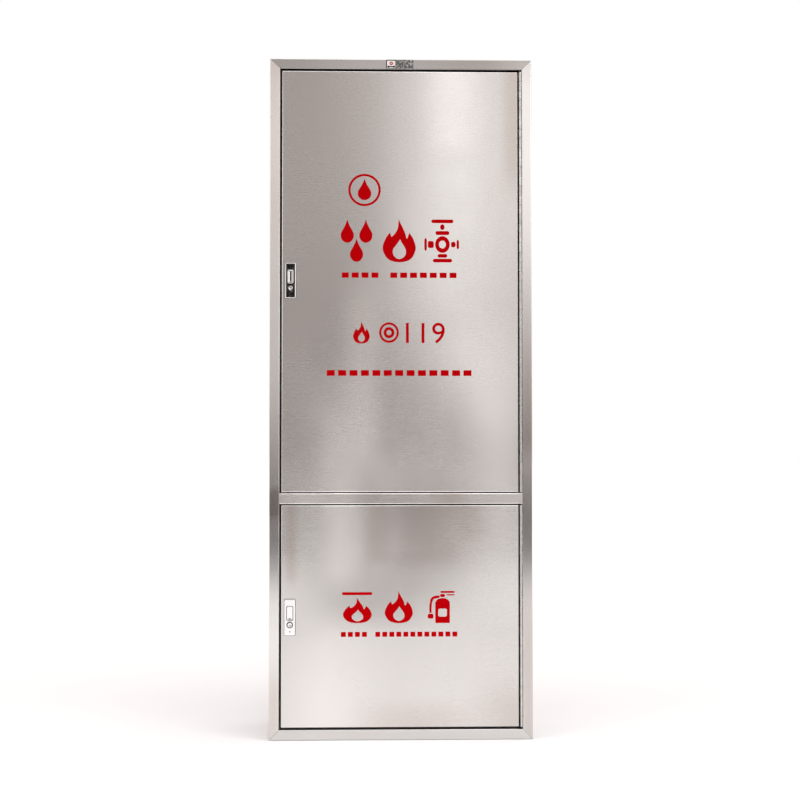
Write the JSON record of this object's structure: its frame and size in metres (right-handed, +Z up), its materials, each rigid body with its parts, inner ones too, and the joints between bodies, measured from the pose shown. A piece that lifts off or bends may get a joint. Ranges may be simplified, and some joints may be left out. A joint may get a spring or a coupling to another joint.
{
  "type": "standpipe cabinet",
  "caption": "Tall stainless wall cabinet with an upper hinged door over a landing valve, hose reel and rolled hose, and a lower door over fire extinguishers.",
  "frame": {"origin": "centre of the cabinet's bounding box, on the floor it stands on", "axes": "+Z up, -Y out of the doors, +X towards the hinges, seen from the front"},
  "size_m": [0.695, 0.243, 1.8],
  "materials": {
    "cabinet_sheet": "brushed stainless sheet",
    "frame": "brushed stainless, hairline",
    "door": "brushed stainless, hairline",
    "hinge": "bright stainless",
    "lock": "polished chrome plate",
    "zinc": "zinc plated",
    "red_enamel": "gloss enamel",
    "valve_iron": "painted casting",
    "brass": "machined",
    "coupling_alloy": "cast and turned",
    "hose_rubber": "matt black",
    "hose_fabric": "woven jacket",
    "print": "printed film",
    "call_point_red": "moulded",
    "call_point_white": "moulded"
  },
  "bodies": {
    "cabinet": {"back_panel": "cabinet_sheet", "left_side_panel": "cabinet_sheet", "right_side_panel": "cabinet_sheet", "top_panel": "cabinet_sheet", "bottom_panel": "cabinet_sheet", "divider_shelf": "cabinet_sheet", "hose_tray": "cabinet_sheet", "frame_left_stile": "frame", "frame_right_stile": "frame", "frame_bottom_rail": "frame", "frame_top_rail": "frame", "frame_mid_rail": "frame", "upper_hinge_frame_leaf": "hinge", "upper_hinge_pin": "hinge", "lower_hinge_frame_leaf": "hinge", "lower_hinge_pin": "hinge", "inspection_label": "print", "inlet_elbow": "zinc", "reel_bracket": "zinc", "reel_axle": "zinc", "reel_feed_pipe": "zinc", "branchpipe_rack": "zinc", "valve_body": "valve_iron", "valve_bonnet": "valve_iron", "feed_valve_body": "brass", "outlet_coupling": "coupling_alloy", "hose_coupling": "coupling_alloy", "branchpipe": "coupling_alloy", "hose_roll": "hose_fabric", "call_point_case": "call_point_red", "left_extinguisher_cylinder": "red_enamel", "left_extinguisher_valve": "brass", "left_extinguisher_hose": "hose_rubber", "right_extinguisher_cylinder": "red_enamel", "right_extinguisher_valve": "brass", "right_extinguisher_hose": "hose_rubber"},
    "upper_door": {"upper_door_panel": "door", "upper_door_stiffener": "door", "upper_hinge_door_leaf": "hinge", "upper_lock_case": "lock"},
    "upper_lock_button": {"upper_lock_button": "lock"},
    "upper_lock_bolt": {"upper_lock_bolt": "lock"},
    "upper_lock_key": {"upper_lock_cylinder": "lock"},
    "lower_door": {"lower_door_panel": "door", "lower_door_stiffener": "door", "lower_hinge_door_leaf": "hinge", "lower_lock_case": "lock"},
    "lower_lock_button": {"lower_lock_button": "lock"},
    "lower_lock_bolt": {"lower_lock_bolt": "lock"},
    "lower_lock_key": {"lower_lock_cylinder": "lock"},
    "valve_stem": {"valve_stem": "brass"},
    "handwheel": {"valve_handwheel": "valve_iron"},
    "reel": {"reel_spool": "red_enamel", "reel_front_flange": "red_enamel", "reel_hose": "hose_rubber", "reel_nozzle": "brass"},
    "feed_lever": {"feed_valve_lever": "red_enamel"},
    "call_button": {"call_point_button": "call_point_white"},
    "left_lever": {"left_extinguisher_lever": "red_enamel"},
    "right_lever": {"right_extinguisher_lever": "red_enamel"}
  },
  "joints": [
    {"name": "upper_door_hinge", "type": "hinge", "parent": "cabinet", "child": "upper_door", "pos_m": [0.3172, -0.1185, 0.649], "axis": [0, 0, 1], "range_deg": [0, 165]},
    {"name": "upper_lock_button_push", "type": "slide", "parent": "upper_door", "child": "upper_lock_button", "axis": [0, 1, 0], "range_m": [0, 0.004], "stiffness_N_per_m": 600, "springref_m": -0.003},
    {"name": "upper_lock_bolt_slide", "type": "slide", "parent": "upper_door", "child": "upper_lock_bolt", "axis": [1, 0, 0], "range_m": [0, 0.009]},
    {"name": "upper_lock_key_turn", "type": "hinge", "parent": "upper_door", "child": "upper_lock_key", "pos_m": [-0.2925, -0.1185, 1.1885], "axis": [0, 1, 0], "range_deg": [0, 90]},
    {"name": "lower_door_hinge", "type": "hinge", "parent": "cabinet", "child": "lower_door", "pos_m": [0.3172, -0.1185, 0.0325], "axis": [0, 0, 1], "range_deg": [0, 165]},
    {"name": "lower_lock_button_push", "type": "slide", "parent": "lower_door", "child": "lower_lock_button", "axis": [0, 1, 0], "range_m": [0, 0.004], "stiffness_N_per_m": 600, "springref_m": -0.003},
    {"name": "lower_lock_bolt_slide", "type": "slide", "parent": "lower_door", "child": "lower_lock_bolt", "axis": [1, 0, 0], "range_m": [0, 0.009]},
    {"name": "lower_lock_key_turn", "type": "hinge", "parent": "lower_door", "child": "lower_lock_key", "pos_m": [-0.2925, -0.1185, 0.3015], "axis": [0, 1, 0], "range_deg": [0, 90]},
    {"name": "valve_stem_lift", "type": "slide", "parent": "cabinet", "child": "valve_stem", "axis": [0, 0, 1], "range_m": [0, 0.0161]},
    {"name": "valve_wheel_turn", "type": "hinge", "parent": "valve_stem", "child": "handwheel", "pos_m": [0.215, 0.015, 0.9713], "axis": [0, 0, 1], "range_deg": [0, 1440]},
    {"name": "reel_spin", "type": "hinge", "parent": "cabinet", "child": "reel", "pos_m": [0, 0, 1.49], "axis": [0, 1, 0], "continuous": true},
    {"name": "feed_valve_turn", "type": "hinge", "parent": "cabinet", "child": "feed_lever", "pos_m": [0.305, 0.098, 1.205], "axis": [0, 1, 0], "range_deg": [-90, 0]},
    {"name": "call_button_push", "type": "slide", "parent": "cabinet", "child": "call_button", "axis": [0, 1, 0], "range_m": [0, 0.003], "stiffness_N_per_m": 500, "springref_m": -0.002},
    {"name": "left_extinguisher_squeeze", "type": "hinge", "parent": "cabinet", "child": "left_lever", "pos_m": [-0.142, 0.015, 0.4615], "axis": [0, 1, 0], "range_deg": [0, 8], "stiffness_Nm_per_rad": 2, "springref_deg": -2.86},
    {"name": "right_extinguisher_squeeze", "type": "hinge", "parent": "cabinet", "child": "right_lever", "pos_m": [0.118, 0.015, 0.4615], "axis": [0, 1, 0], "range_deg": [0, 8], "stiffness_Nm_per_rad": 2, "springref_deg": -2.86}
  ],
  "couplings": [
    {"joint": "upper_lock_bolt_slide", "follows": "upper_lock_button_push", "ratio": 2.25},
    {"joint": "lower_lock_bolt_slide", "follows": "lower_lock_button_push", "ratio": 2.25},
    {"joint": "valve_stem_lift", "follows": "valve_wheel_turn", "m_per_rad": 0.00063662}
  ]
}
